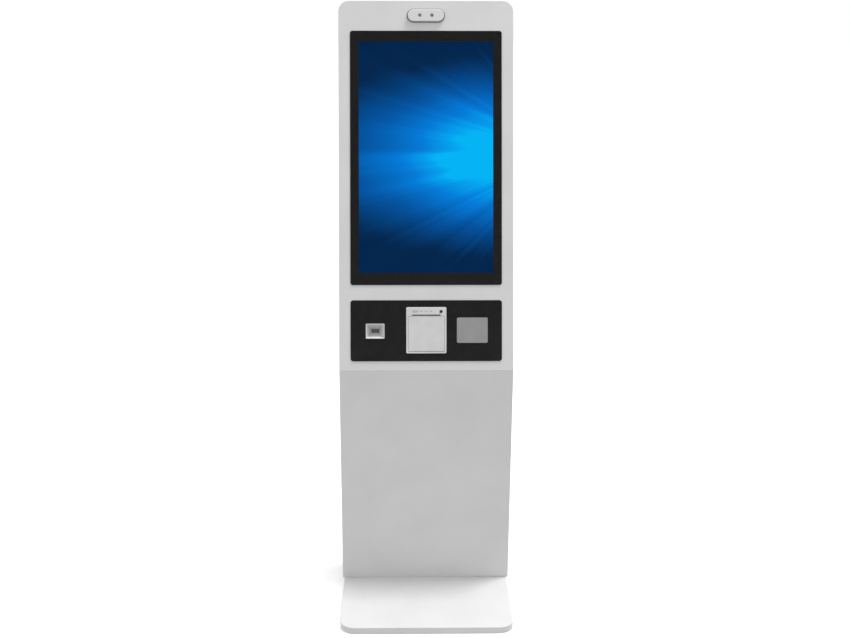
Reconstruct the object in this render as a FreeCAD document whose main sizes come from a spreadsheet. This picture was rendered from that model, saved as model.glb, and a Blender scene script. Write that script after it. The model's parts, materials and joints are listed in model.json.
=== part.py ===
"""Free-standing ticket machine: a leaning screen head on a folded steel column and a base plate.

World frame: +Z up, the front looks along -Y, +X is to the right seen from the front.
Head frame: X across the face, Y up the face from the crease, Z out of the face, so everything
inside the head has a negative Z.
"""

import FreeCAD, Part
import os

from FreeCAD import Placement, Rotation, Vector

DRIVING = {
    "wall": 2, "lean": 15, "crease_height": 724, "crease_depth": -54,
    "machine_width": 520, "face_length": 1099, "head_depth": 100, "head_corner": 32,
    "foot_setback": 60, "column_depth": 200, "plate_top": 20, "plate_width": 510,
    "plate_front": -327, "plate_depth": 560, "plate_corner": 45, "pad_height": 1.5,
    "anchor_radius": 7, "anchor_across": 400, "anchor_deep": 80, "anchor_middle": 80,
    "entry_radius": 20, "screen_width": 400, "screen_height": 687.5, "screen_low": 291,
    "bezel_width": 451, "bezel_height": 755, "bezel_low": 255, "bezel_corner": 7,
    "panel_width": 451, "panel_height": 181.5, "panel_low": 28, "panel_corner": 8,
    "proud": 2, "scanner_across": -152.5, "scanner_up": 117.5, "scanner_width": 56,
    "scanner_height": 45, "printer_up": 120, "printer_width": 120, "printer_height": 138,
    "reader_across": 137, "reader_up": 120, "reader_width": 92, "reader_height": 75.5,
    "pod_up": 1055, "pod_width": 113, "pod_height": 40.5, "pod_proud": 9,
    "flap_width": 107, "flap_low": 57.5, "flap_height": 104, "slot_height": 6,
    "slot_width": 87, "button_across": 44, "button_up": 176,
    "roll_radius": 27, "roll_width": 80, "platen_radius": 6, "spindle_radius": 6,
    "running_gap": 0.05, "door_low": 70, "door_height": 996, "door_depth": 16,
    "hinge_radius": 5, "hinge_out": 5.6, "pin_radius": 3, "lock_up": 560, "fan_radius": 38,
    "fan_up": 1010, "shelf_height": 400,
}


class Dim:
    """A length that carries the spreadsheet formula it comes from."""

    def __init__(self, value, formula=None):
        self.value = float(value)
        self.formula = formula or repr(float(value))

    def joined(self, sign, other, value):
        return Dim(value, f"({self.formula} {sign} {as_dim(other).formula})")

    def __add__(self, other):
        return self.joined("+", other, self.value + as_dim(other).value)

    def __sub__(self, other):
        return self.joined("-", other, self.value - as_dim(other).value)

    def __mul__(self, other):
        return self.joined("*", other, self.value * as_dim(other).value)

    def __truediv__(self, other):
        return self.joined("/", other, self.value / as_dim(other).value)

    def __rsub__(self, other):
        return as_dim(other) - self

    def __neg__(self):
        return 0 - self

    __radd__ = __add__
    __rmul__ = __mul__


def as_dim(number):
    return number if isinstance(number, Dim) else Dim(number)


doc = FreeCAD.newDocument("ticket_machine")
sheet = doc.addObject("Spreadsheet::Sheet", "Sheet")
for row, (alias, number) in enumerate(DRIVING.items(), start=1):
    sheet.set(f"A{row}", alias)
    sheet.set(f"B{row}", str(number))
    sheet.setAlias(f"B{row}", alias)
doc.recompute()
D = {alias: Dim(number, f"Sheet.{alias}") for alias, number in DRIVING.items()}

LEAN = D["lean"].value
WORLD = Placement()
HEAD = Placement(
    Vector(0, D["crease_depth"].value, D["crease_height"].value),
    Rotation(Vector(1, 0, 0), 90 - LEAN),
)
NODES = {}


def bind(item, prop, size):
    """Tie a property to the sheet."""
    item.setExpression(prop, as_dim(size).formula)


def node(name, item, frame=WORLD):
    """Keep an object as a finished sub-part that stands in the given frame."""
    if item.TypeId in ("Part::Box", "Part::Cylinder"):
        item = group(item)
    item.Label = name
    item.Placement = frame.multiply(item.Placement)
    NODES[name] = item
    return item


def plain_name(kind):
    return f"{kind}{len(doc.Objects)}"


# ---- sketched bodies ------------------------------------------------------------------------


def new_body():
    return doc.addObject("PartDesign::Body", plain_name("Body"))


def new_sketch(body, role="XY_Plane", height=0):
    sketch = body.newObject("Sketcher::SketchObject", plain_name("Sketch"))
    plane = next(item for item in body.Origin.OriginFeatures if item.Role == role)
    sketch.AttachmentSupport = [(plane, "")]
    sketch.MapMode = "FlatFace"
    bind(sketch, "AttachmentOffset.Base.z", height)
    return sketch


def pin_point(sketch, line, end, place):
    """Hold one end of a line, or a circle's centre, at its place."""
    import Sketcher

    for kind, size in zip(("DistanceX", "DistanceY"), place):
        size = as_dim(size)
        index = sketch.addConstraint(Sketcher.Constraint(kind, -1, 1, line, end, size.value))
        if size.value:
            bind(sketch, f"Constraints[{index}]", size)


def draw_outline(sketch, corners):
    """A closed run of straight lines through the corners."""
    import Sketcher

    points = [Vector(as_dim(x).value, as_dim(y).value, 0) for x, y in corners]
    first = sketch.GeometryCount
    for start, end in zip(points, points[1:] + points[:1]):
        sketch.addGeometry(Part.LineSegment(start, end), False)
    for step in range(len(points)):
        follower = first + (step + 1) % len(points)
        sketch.addConstraint(Sketcher.Constraint("Coincident", first + step, 2, follower, 1))
    for step, corner in enumerate(corners):
        pin_point(sketch, first + step, 1, corner)


def draw_window(sketch, centre, width, height):
    """A rectangle round its centre."""
    across, up = (as_dim(size) for size in centre)
    left, right = across - as_dim(width) / 2, across + as_dim(width) / 2
    low, high = up - as_dim(height) / 2, up + as_dim(height) / 2
    draw_outline(sketch, [(left, low), (right, low), (right, high), (left, high)])


def draw_circle(sketch, centre, radius):
    import Sketcher

    radius = as_dim(radius)
    place = Vector(as_dim(centre[0]).value, as_dim(centre[1]).value, 0)
    line = sketch.addGeometry(Part.Circle(place, Vector(0, 0, 1), radius.value), False)
    pin_point(sketch, line, 3, centre)
    index = sketch.addConstraint(Sketcher.Constraint("Radius", line, radius.value))
    bind(sketch, f"Constraints[{index}]", radius)


def pad(body, sketch, length, middle=False):
    feature = body.newObject("PartDesign::Pad", plain_name("Pad"))
    feature.Profile = sketch
    bind(feature, "Length", length)
    feature.SideType = 2 if middle else 0
    doc.recompute()
    return feature


def pocket(body, sketch, depth, middle=False):
    """Cut a sketch out of the body and make sure that it took something away."""
    before = body.Shape.Volume
    feature = body.newObject("PartDesign::Pocket", plain_name("Pocket"))
    feature.Profile = sketch
    bind(feature, "Length", depth)
    feature.SideType = 2 if middle else 0
    doc.recompute()
    if body.Shape.Volume > before - 0.1:
        raise ValueError(f"{feature.Name} cuts nothing")
    return feature


def upright_edges(shape, direction, inside=None):
    """Names of the straight edges along a direction, or only of those inside a box."""
    names = []
    for index, edge in enumerate(shape.Edges, start=1):
        ends = [vertex.Point for vertex in edge.Vertexes]
        if len(ends) < 2 or edge.Curve.TypeId != "Part::GeomLine":
            continue
        along = (ends[1] - ends[0]).normalize()
        if abs(along.dot(direction)) < 0.999:
            continue
        if inside is None or inside.isInside((ends[0] + ends[1]) / 2):
            names.append(f"Edge{index}")
    return names


def round_corners(body, radius, direction=Vector(0, 0, 1), inside=None):
    base = body.Tip
    feature = body.newObject("PartDesign::Fillet", plain_name("Fillet"))
    feature.Base = (base, upright_edges(base.Shape, direction, inside))
    bind(feature, "Radius", radius)
    doc.recompute()
    return feature


def slab(centre, width, height, low, thickness, corner=None):
    """A plate parallel to XY, with rounded corners if asked."""
    body = new_body()
    sketch = new_sketch(body, height=low)
    draw_window(sketch, centre, width, height)
    pad(body, sketch, thickness)
    if corner is not None:
        round_corners(body, corner)
    return body


def cut_windows(body, top, depth, windows):
    """Rectangular openings from a height downwards; a window is (centre, width, height)."""
    sketch = new_sketch(body, height=top)
    for centre, width, height in windows:
        draw_window(sketch, centre, width, height)
    pocket(body, sketch, depth)


def cut_holes(body, top, depth, radius, centres):
    sketch = new_sketch(body, height=top)
    for centre in centres:
        draw_circle(sketch, centre, radius)
    pocket(body, sketch, depth)


def side_profile(corners, width):
    """A side outline given as (Y, Z), drawn out evenly to both sides along X."""
    body = new_body()
    sketch = new_sketch(body, "YZ_Plane")
    draw_outline(sketch, corners)
    pad(body, sketch, width, middle=True)
    return body


# ---- primitives and booleans ----------------------------------------------------------------


def box(low, high):
    """A box between two corners."""
    item = doc.addObject("Part::Box", plain_name("Box"))
    for prop, axis, start, end in zip(("Length", "Width", "Height"), "xyz", low, high):
        bind(item, prop, as_dim(end) - start)
        bind(item, f"Placement.Base.{axis}", start)
    return item


AXES = {"x": Rotation(Vector(0, 1, 0), 90), "y": Rotation(Vector(1, 0, 0), -90), "z": Rotation()}


def rod(start, radius, length, axis="z"):
    """A cylinder that runs from its start along an axis."""
    item = doc.addObject("Part::Cylinder", plain_name("Rod"))
    bind(item, "Radius", radius)
    bind(item, "Height", length)
    item.Placement = Placement(Vector(), AXES[axis])
    for letter, size in zip("xyz", start):
        bind(item, f"Placement.Base.{letter}", size)
    return item


def fuse(*items):
    if len(items) == 1:
        return items[0]
    item = doc.addObject("Part::MultiFuse", plain_name("Fuse"))
    item.Shapes = list(items)
    return item


def cut(base, *tools):
    item = doc.addObject("Part::Cut", plain_name("Cut"))
    item.Base = base
    item.Tool = fuse(*tools)
    return item


def group(*items):
    """Separate solids that share one node."""
    item = doc.addObject("Part::Compound", plain_name("Group"))
    item.Links = list(items)
    return item


def moved(item, placement):
    """The item at another place, with its own sizes left as they are."""
    carrier = group(item)
    carrier.Placement = placement
    return carrier


# ---- base -----------------------------------------------------------------------------------

WALL = D["wall"]
PLATE_MIDDLE = D["plate_front"] + D["plate_depth"] / 2
ANCHORS = [
    (D["anchor_across"] * side / 2, D["anchor_middle"] + D["anchor_deep"] * end / 2)
    for side in (-1, 1) for end in (-1, 1)
]
ENTRY = (0, D["anchor_middle"])
GROMMET_WALL = 4


def base_plate():
    """Folded cover over a heavy plate that stands on four thin rubber pads."""
    top, low = D["plate_top"], D["pad_height"]
    cover = slab((0, PLATE_MIDDLE), D["plate_width"], D["plate_depth"], low, top - low,
                 D["plate_corner"])
    inner = slab((0, PLATE_MIDDLE), D["plate_width"] - WALL * 2, D["plate_depth"] - WALL * 2,
                 low, top - low - WALL, D["plate_corner"] - WALL)
    holes = [rod((x, y, 0), D["anchor_radius"], top + 5) for x, y in ANCHORS]
    entry = rod((*ENTRY, 0), D["entry_radius"] + GROMMET_WALL, top + 5)
    node("base_cover", cut(cover, inner, entry, *holes))

    rim = WALL + 0.5
    ballast = slab((0, PLATE_MIDDLE), D["plate_width"] - rim * 2, D["plate_depth"] - rim * 2,
                   low, top - low - WALL, D["plate_corner"] - rim)
    cut_holes(ballast, top, top, D["anchor_radius"], ANCHORS)
    cut_holes(ballast, top, top, D["entry_radius"] + GROMMET_WALL, [ENTRY])
    node("base_ballast", ballast)

    reach, pad_radius = 60, 30
    places = [
        (side * (D["plate_width"] / 2 - reach), PLATE_MIDDLE + (D["plate_depth"] / 2 - reach) * end)
        for side in (-1, 1) for end in (-1, 1)
    ]
    node("floor_pads", group(*[rod((x, y, 0), pad_radius, low) for x, y in places]))

    ring = rod((*ENTRY, low), D["entry_radius"] + GROMMET_WALL, top - low + 6)
    lip = rod((*ENTRY, top + 4), D["entry_radius"] + GROMMET_WALL + 4, 3)
    bore = rod((*ENTRY, 0), D["entry_radius"], top + 20)
    node("cable_grommet", cut(fuse(ring, lip), bore))


# ---- column and rear ------------------------------------------------------------------------

FRONT_FOOT = D["crease_depth"] + D["foot_setback"]
REAR = D["crease_depth"] + D["column_depth"]
HALF = D["machine_width"] / 2
INSIDE = HALF - WALL
DOOR_HIGH = D["door_low"] + D["door_height"]
FRAME_Y = REAR - 22
FRAME_THICK = 4
STILE = 236


def column():
    """Sides and sloping front of the column, its foot ring and the rear frame."""
    low, high = D["plate_top"], D["crease_height"]
    outer = side_profile([(FRONT_FOOT, low), (REAR, low), (REAR, high), (D["crease_depth"], high)],
                         D["machine_width"])
    beyond = REAR + 20
    sketch = new_sketch(outer, "YZ_Plane")
    draw_outline(sketch, [(FRONT_FOOT + WALL, low), (beyond, low), (beyond, high),
                          (D["crease_depth"] + WALL, high)])
    pocket(outer, sketch, INSIDE * 2, middle=True)
    node("column_shell", outer)

    foot_rim, foot_thick = 40, 4
    depth = REAR - FRONT_FOOT - 30
    middle = (0, FRONT_FOOT + 4 + depth / 2)
    foot = slab(middle, INSIDE * 2 - 8, depth, low, foot_thick)
    cut_windows(foot, low + foot_thick, foot_thick, [(middle, INSIDE * 2 - 8 - foot_rim * 4, depth - 30)])
    cut_holes(foot, low + foot_thick, foot_thick, D["anchor_radius"], ANCHORS)
    node("column_foot", foot)


def rear_frame():
    """Ring that the door closes against, the strip under the door and the bar over it."""
    bottom, top = D["plate_top"] + 4, DOOR_HIGH + 4
    ring = box((-INSIDE, FRAME_Y, bottom), (INSIDE, FRAME_Y + FRAME_THICK, top))
    hole = box((-STILE, FRAME_Y - 5, D["door_low"]), (STILE, FRAME_Y + 10, DOOR_HIGH - 16))
    notch = box((INLET_X - 27, FRAME_Y - 5, bottom - 5), (INLET_X + 27, FRAME_Y + 10, INLET_Z + 14))
    node("rear_frame", cut(ring, hole, notch))

    kick = box((-INSIDE, REAR - WALL, D["plate_top"]), (INSIDE, REAR, D["door_low"] - 2))
    inlet = box((INLET_X - 25, REAR - 10, INLET_Z - 12), (INLET_X + 25, REAR + 10, INLET_Z + 12))
    node("kick_panel", cut(kick, inlet))

    lean_starts = 1084
    rise, run = 19.3, 5.2
    bar = side_profile([
        (REAR, top), (REAR, lean_starts), (REAR + run, lean_starts + rise),
        (REAR + run - WALL, lean_starts + rise), (REAR - WALL, lean_starts + 0.5),
        (REAR - WALL, top + WALL),
        (FRAME_Y, top + WALL), (FRAME_Y, top),
    ], INSIDE * 2)
    node("rear_crossbar", bar)


HINGE_X = -(HALF - 6)
HINGE_Y = REAR + D["hinge_out"]
HINGE_LEVELS = (200, 560, 920)
KNUCKLE = 20
DOOR_LEFT, DOOR_RIGHT = -(INSIDE - 5), INSIDE - 4
LOCK_X = 225
LOCK_RADIUS = 9
CAM_REACH = 30
CAM_Y = FRAME_Y - 4


def rear_door():
    """Folded tray with two vent fields, its lock body and its inner stiffener."""
    depth, low = D["door_depth"], D["door_low"]
    tray = box((DOOR_LEFT, REAR - depth, low), (DOOR_RIGHT, REAR, DOOR_HIGH))
    hollow = box((DOOR_LEFT + WALL, REAR - depth - 5, low + WALL),
                 (DOOR_RIGHT - WALL, REAR - WALL, DOOR_HIGH - WALL))
    slots = []
    for field in (low + 60, DOOR_HIGH - 160):
        for index in range(9):
            level = field + index * 11
            slots.append(box((-70, REAR - 10, level), (70, REAR + 10, level + 5)))
    lock_hole = rod((LOCK_X, REAR - 30, D["lock_up"]), LOCK_RADIUS + D["running_gap"], 60, "y")
    node("rear_door", cut(tray, hollow, lock_hole, *slots))

    rib = box((-20, REAR - 14, low + 180), (20, REAR - WALL, DOOR_HIGH - 180))
    node("door_stiffener", cut(rib, box((-18, REAR - 12.5, low), (18, REAR, DOOR_HIGH))))

    lock_low = CAM_Y + 3
    body = rod((LOCK_X, lock_low, D["lock_up"]), LOCK_RADIUS, REAR + 2 - lock_low, "y")
    cap = rod((LOCK_X, REAR, D["lock_up"]), 12, 2, "y")
    bore = rod((LOCK_X, REAR - 60, D["lock_up"]), 6 + D["running_gap"], 100, "y")
    node("lock_body", cut(fuse(body, cap), bore))


def lock_cam():
    """Turning core with its key slot, and the cam that swings behind the frame."""
    core = rod((LOCK_X, CAM_Y - 4, D["lock_up"]), 6, REAR + 1.5 - CAM_Y + 4, "y")
    slot = box((LOCK_X - 0.7, REAR - 6, D["lock_up"] - 3), (LOCK_X + 0.7, REAR + 5, D["lock_up"] + 3))
    seat = box((LOCK_X - 7, CAM_Y - 5, D["lock_up"] - 7), (LOCK_X + 7, CAM_Y + 2.5, D["lock_up"] + 7))
    waist = box((LOCK_X - 4, CAM_Y - 4, D["lock_up"] - 4), (LOCK_X + 4, CAM_Y + 2.5, D["lock_up"] + 4))
    core_left = fuse(cut(core, slot, seat), waist)
    node("lock_core", core_left)

    arm = box((LOCK_X - 7, CAM_Y, D["lock_up"] - CAM_REACH), (LOCK_X + 7, CAM_Y + 2.5, D["lock_up"] + 7))
    hole = box((LOCK_X - 4, CAM_Y - 5, D["lock_up"] - 4), (LOCK_X + 4, CAM_Y + 9, D["lock_up"] + 4))
    node("lock_cam", cut(arm, hole))


def hinges():
    """Three butt hinges: outer knuckles and pins on the cabinet, middle knuckles on the door."""
    fixed, moving, pins = [], [], []
    radius, gap = D["hinge_radius"], 0.4
    for level in HINGE_LEVELS:
        low, high = level - KNUCKLE * 1.5, level + KNUCKLE * 1.5
        for start in (low, high - KNUCKLE):
            knuckle = rod((HINGE_X, HINGE_Y, start), radius, KNUCKLE)
            tail = box((-INSIDE, REAR - 3, start), (-INSIDE + WALL, HINGE_Y, start + KNUCKLE))
            hole = rod((HINGE_X, HINGE_Y, start - 1), D["pin_radius"], KNUCKLE + 2)
            fixed.append(cut(fuse(knuckle, tail), hole))
        leaf = box((-INSIDE, FRAME_Y + FRAME_THICK, low), (-INSIDE + WALL, REAR - 3, high))
        fixed.append(leaf)
        middle = rod((HINGE_X, HINGE_Y, low + KNUCKLE + gap), radius, KNUCKLE - gap * 2)
        arm = box((HINGE_X, REAR, low + KNUCKLE + gap),
                  (HINGE_X + 10, REAR + WALL, high - KNUCKLE - gap))
        hole = rod((HINGE_X, HINGE_Y, low), D["pin_radius"] + D["running_gap"], KNUCKLE * 3)
        plate = box((HINGE_X + 8, REAR, low), (HINGE_X + 34, REAR + WALL, high))
        moving.append(fuse(cut(fuse(middle, arm), hole), plate))
        pins.append(rod((HINGE_X, HINGE_Y, low), D["pin_radius"], KNUCKLE * 3))
    node("hinge_frame_leaves", fuse(*fixed))
    node("hinge_door_leaves", fuse(*moving))
    node("hinge_pins", group(*pins))


INLET_X, INLET_Z = 150, 44
SWITCH_X = 164


def power_inlet():
    """Mains inlet with its three blades and a rocker switch beside it."""
    shell = box((INLET_X - 25, REAR - 34, INLET_Z - 12), (INLET_X + 25, REAR, INLET_Z + 12))
    lip = box((INLET_X - 28, REAR, INLET_Z - 15), (INLET_X + 28, REAR + 2, INLET_Z + 15))
    socket = box((INLET_X - 22, REAR - 18, INLET_Z - 8), (INLET_X + 2, REAR + 5, INLET_Z + 8))
    well = box((SWITCH_X - 7, REAR - 12, INLET_Z - 10), (SWITCH_X + 7, REAR + 5, INLET_Z + 10))
    node("power_inlet", cut(fuse(shell, lip), socket, well))
    blades = []
    for across, up in ((-17, -2), (-10, 2), (-3, -2)):
        blades.append(box((INLET_X + across - 1, REAR - 18, INLET_Z + up - 2),
                          (INLET_X + across + 1, REAR - 5, INLET_Z + up + 2)))
    node("inlet_blades", group(*blades))
    pivot = REAR - 4
    rocker = box((SWITCH_X - 6.5, REAR - 6, INLET_Z - 8.5), (SWITCH_X + 6.5, REAR + 1, INLET_Z + 8.5))
    hub = rod((SWITCH_X - 6.5, pivot, INLET_Z), 3, 13, "x")
    node("power_rocker", fuse(rocker, hub))


def equipment():
    """Shelf across the column with the computer and the power supply on it."""
    level = D["shelf_height"]
    front, back = -20, 110
    tray = box((-INSIDE, front, level), (INSIDE, back, level + 24))
    node("equipment_shelf", cut(tray, box((-INSIDE + WALL, front - 5, level + WALL),
                                          (INSIDE - WALL, back - WALL, level + 40))))
    floor = level + WALL
    case = box((-190, front + 10, floor), (10, back - 15, floor + 40))
    fins = [box((-186 + index * 12, front + 14, floor + 40), (-183 + index * 12, back - 19, floor + 52))
            for index in range(17)]
    ports = [box((-170 + index * 40, back - 20, floor + 10), (-145 + index * 40, back - 10, floor + 24))
             for index in range(4)]
    node("computer_case", cut(fuse(case, *fins), *ports))
    supply = box((50, front + 14, floor), (170, back - 20, floor + 38))
    vents = [box((60 + index * 10, front + 20, floor + 34), (65 + index * 10, back - 26, floor + 45))
             for index in range(10)]
    node("power_supply", cut(supply, *vents))


# ---- head -----------------------------------------------------------------------------------

SCREEN_MIDDLE = (0, D["screen_low"] + D["screen_height"] / 2)
BEZEL_MIDDLE = (0, D["bezel_low"] + D["bezel_height"] / 2)
PANEL_MIDDLE = (0, D["panel_low"] + D["panel_height"] / 2)
DEPTH = D["head_depth"]
PROUD = D["proud"]
COVER_LOW = 424
SCREW_PLACES = [
    (side * 249, up) for side in (-1, 1) for up in (440, 640, 860, 1050)
]


def head_shell():
    """Face, sides and top in one folded shell, open to the column and at the back."""
    shoulder = (399.5, 51.8, -193.2)
    outer = side_profile([(0, 0), (D["face_length"], 0), (D["face_length"], -DEPTH),
                          (shoulder[0], -DEPTH), (shoulder[1], shoulder[2])], D["machine_width"])
    top_edges = FreeCAD.BoundBox(-300, 1080, -300, 300, 1120, 300)
    round_corners(outer, D["head_corner"], inside=top_edges)
    below, beyond = -20, -230
    inner = side_profile([(below, -WALL), (D["face_length"] - WALL, -WALL),
                          (D["face_length"] - WALL, beyond), (below, beyond)], INSIDE * 2)
    round_corners(inner, D["head_corner"] - WALL, inside=top_edges)
    screen_hole = slab(BEZEL_MIDDLE, D["bezel_width"] - 4, D["bezel_height"] - 4, -10, 20, 5)
    panel_hole = slab(PANEL_MIDDLE, D["panel_width"] - 4, D["panel_height"] - 4, -10, 20, 6)
    eyes = [rod((side * EYE_APART / 2, D["pod_up"], -10), 9.2, 20) for side in (-1, 1)]
    node("head_shell", cut(outer, inner, screen_hole, panel_hole, *eyes), HEAD)

    flange = 18
    high = D["face_length"] - WALL
    ring = slab((0, (COVER_LOW + high) / 2), INSIDE * 2, high - COVER_LOW, -DEPTH + WALL, WALL)
    round_corners(ring, D["head_corner"] - WALL, inside=top_edges)
    cut_windows(ring, -DEPTH + WALL * 2, 10,
                [((0, (COVER_LOW + high) / 2), INSIDE * 2 - flange * 2, high - COVER_LOW - flange * 2)])
    cut_holes(ring, -DEPTH + WALL * 2, 10, 2.1, SCREW_PLACES)
    node("head_flange", ring, HEAD)


def upper_cover():
    """Screwed cover on the head's slanted back, with vents and the fan's opening."""
    high = D["face_length"] - WALL - 1
    middle = (0, (COVER_LOW + high) / 2)
    cover = slab(middle, INSIDE * 2 - 2, high - COVER_LOW, -DEPTH, WALL)
    round_corners(cover, D["head_corner"] - 3,
                  inside=FreeCAD.BoundBox(-300, 1080, -300, 300, 1120, 300))
    cut_holes(cover, -DEPTH + WALL, 10, 2.1, SCREW_PLACES)
    cut_holes(cover, -DEPTH + WALL, 10, D["fan_radius"], [(0, D["fan_up"])])
    slots = [((0, 470 + index * 12), 200, 5) for index in range(10)]
    cut_windows(cover, -DEPTH + WALL, 10, slots)
    node("upper_cover", cover, HEAD)

    screws = []
    for x, y in SCREW_PLACES:
        head = rod((x, y, -DEPTH - 2.2), 4.2, 2.2)
        shank = rod((x, y, -DEPTH), 2, 10)
        drive = rod((x, y, -DEPTH - 3), 1.4, 2)
        screws.append(cut(fuse(head, shank), drive))
    node("cover_screws", group(*screws), HEAD)


def fan():
    """Frame fixed inside the cover, guard rings outside it and a seven-bladed rotor."""
    radius, up = D["fan_radius"], D["fan_up"]
    inner_face = -DEPTH + WALL
    low, high = inner_face, inner_face + 25
    frame = slab((0, up), radius * 2 + 8, radius * 2 + 8, low, 25, 6)
    bore = rod((0, up, low - 5), radius, 40)
    hub = rod((0, up, high - 3), 16, 3)
    struts = fuse(box((-radius - 1, up - 2, high - 3), (radius + 1, up + 2, high)),
                  box((-2, up - radius - 1, high - 3), (2, up + radius + 1, high)), hub)
    axle_hole = rod((0, up, low), 3, 60)
    axle = rod((0, up, low + 3), 3, 22)
    node("fan_frame", fuse(cut(frame, bore), cut(struts, axle_hole), axle), HEAD)

    rotor_low, rotor_tall, blade_count, pitch = low + 3, 17, 7, 38
    hub = rod((0, up, rotor_low), 15, rotor_tall)
    centre = Placement(Vector(0, up.value, (rotor_low + rotor_tall / 2).value), Rotation())
    tilt = Placement(Vector(), Rotation(Vector(1, 0, 0), pitch))
    blades = []
    for index in range(blade_count):
        turn = Placement(Vector(), Rotation(Vector(0, 0, 1), 360 / blade_count * index))
        blade = box((12, -1.2, -7), (radius - 1.5, 1.2, 7))
        blades.append(moved(blade, centre.multiply(turn).multiply(tilt)))
    axle_hole = rod((0, up, rotor_low - 5), 3 + D["running_gap"], 60)
    node("fan_rotor", cut(fuse(hub, *blades), axle_hole), HEAD)

    rings = []
    outside = -DEPTH - 2
    for size in (10, 19, 28, 37):
        rings.append(cut(rod((0, up, outside), size + 0.8, 1.6), rod((0, up, outside - 2), size - 0.8, 8)))
    spokes = [box((-radius - 5, up - 0.8, outside), (radius + 5, up + 0.8, outside + 1.6)),
              box((-0.8, up - radius - 5, outside), (0.8, up + radius + 5, outside + 1.6))]
    feet = [rod((side * (radius + 5), up, outside), 3, 2) for side in (-1, 1)]
    feet += [rod((0, up + (radius + 5) * side, outside), 3, 2) for side in (-1, 1)]
    node("fan_guard", fuse(*rings, *spokes, *feet), HEAD)


def display():
    """Bezel, touch glass, gasket, screen panel, its chassis, brackets and driver board."""
    bezel = slab(BEZEL_MIDDLE, D["bezel_width"], D["bezel_height"], 0, PROUD, D["bezel_corner"])
    neck = slab(BEZEL_MIDDLE, D["bezel_width"] - 4.6, D["bezel_height"] - 4.6, -3, 3, 4.7)
    window = slab(SCREEN_MIDDLE, D["screen_width"], D["screen_height"], -10, 20, 1)
    node("display_bezel", cut(fuse(bezel, neck), window), HEAD)

    glass_width, glass_height = D["screen_width"] + 30, D["screen_height"] + 30
    node("touch_glass", slab(SCREEN_MIDDLE, glass_width, glass_height, -7, 4, 3), HEAD)
    gasket = slab(SCREEN_MIDDLE, glass_width, glass_height, -8, 1, 3)
    cut_windows(gasket, -7, 1, [(SCREEN_MIDDLE, D["screen_width"] + 6, D["screen_height"] + 6)])
    node("display_gasket", gasket, HEAD)
    node("screen_panel", slab(SCREEN_MIDDLE, D["screen_width"] + 12, D["screen_height"] + 12, -18, 10, 2),
         HEAD)
    chassis = slab(SCREEN_MIDDLE, D["screen_width"] + 20, D["screen_height"] + 20, -32, 14, 2)
    cut_windows(chassis, -18, 12, [(SCREEN_MIDDLE, D["screen_width"] + 16, D["screen_height"] + 16)])
    vents = [((0, 420 + index * 14), 160, 5) for index in range(8)]
    cut_windows(chassis, -20, 20, vents)
    node("screen_chassis", chassis, HEAD)

    for name, side in (("left", -1), ("right", 1)):
        low, high = D["bezel_low"] + 8, D["bezel_low"] + D["bezel_height"] - 8
        spans = ((226, 252, -4, -2), (226, 228, -34, -4), (200, 226, -34, -32))
        legs = []
        for near, far, deep, shallow in spans:
            xs = sorted((side * near, side * far))
            legs.append(box((xs[0], low, deep), (xs[1], high, shallow)))
        node(f"display_bracket_{name}", fuse(*legs), HEAD)

    board = box((-80, 700, -42), (80, 810, -40.4))
    posts = [rod((x, y, -40.4), 3, 8.4) for x in (-74, 74) for y in (706, 804)]
    chips = [box((-60 + index * 42, 730, -46), (-36 + index * 42, 754, -42)) for index in range(3)]
    plugs = [box((-64 + index * 34, 786, -50), (-44 + index * 34, 800, -42)) for index in range(4)]
    node("display_board", fuse(board, *posts, *chips, *plugs), HEAD)


def accessory_panel():
    """Black panel under the screen with its three openings."""
    panel = slab(PANEL_MIDDLE, D["panel_width"], D["panel_height"], 0, PROUD, D["panel_corner"])
    neck = slab(PANEL_MIDDLE, D["panel_width"] - 4.6, D["panel_height"] - 4.6, -3, 3, 5.7)
    openings = [
        slab((D["scanner_across"], D["scanner_up"]), D["scanner_width"], D["scanner_height"], -10, 20, 1.5),
        slab((0, D["printer_up"]), D["printer_width"] - 4, D["printer_height"] - 4, -10, 20, 3),
        slab((D["reader_across"], D["reader_up"]), D["reader_width"] - 4, D["reader_height"] - 4,
             -10, 20, 2),
    ]
    node("accessory_panel", cut(fuse(panel, neck), *openings), HEAD)


def scanner():
    """Funnel that looks down onto a dark window, with the code reader behind it."""
    x, y = D["scanner_across"], D["scanner_up"]
    width, height = D["scanner_width"] - 0.4, D["scanner_height"] - 0.4
    depth = 30
    block = slab((x, y), width, height, -depth, depth + 3, 1.5)
    funnel = doc.addObject("Part::Wedge", plain_name("Funnel"))
    rim, throat_width, throat_height = 1.6, 22, 10
    funnel.Placement = Placement(Vector(), Rotation(Vector(1, 0, 0), -90))
    mouth, throat = 3.5, -depth - 1
    bind(funnel, "Ymin", -mouth)
    bind(funnel, "Ymax", -throat)
    for prop, middle, reach in (("X", x, width), ("Z", y, height)):
        bind(funnel, f"{prop}min", middle - reach / 2 + rim)
        bind(funnel, f"{prop}max", middle + reach / 2 - rim)
    for prop, middle, reach in (("X", x, throat_width), ("Z", y, throat_height)):
        bind(funnel, f"{prop}2min", middle - reach / 2)
        bind(funnel, f"{prop}2max", middle + reach / 2)
    node("scanner_hood", cut(block, funnel), HEAD)
    node("scanner_window", slab((x, y), width - 10, height - 10, -depth - 3, 3), HEAD)
    engine = slab((x, y), width - 14, height - 8, -depth - 43, 40, 3)
    node("scanner_engine", engine, HEAD)


ROLL_UP, ROLL_DEEP = 88, -64
PLATEN_UP, PLATEN_DEEP = 146, -16
FLAP_THICK = 3.6
PIVOT_UP, PIVOT_OUT = D["flap_low"] + FLAP_THICK / 2, FLAP_THICK / 2
PIVOT_RADIUS = 1


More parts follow.
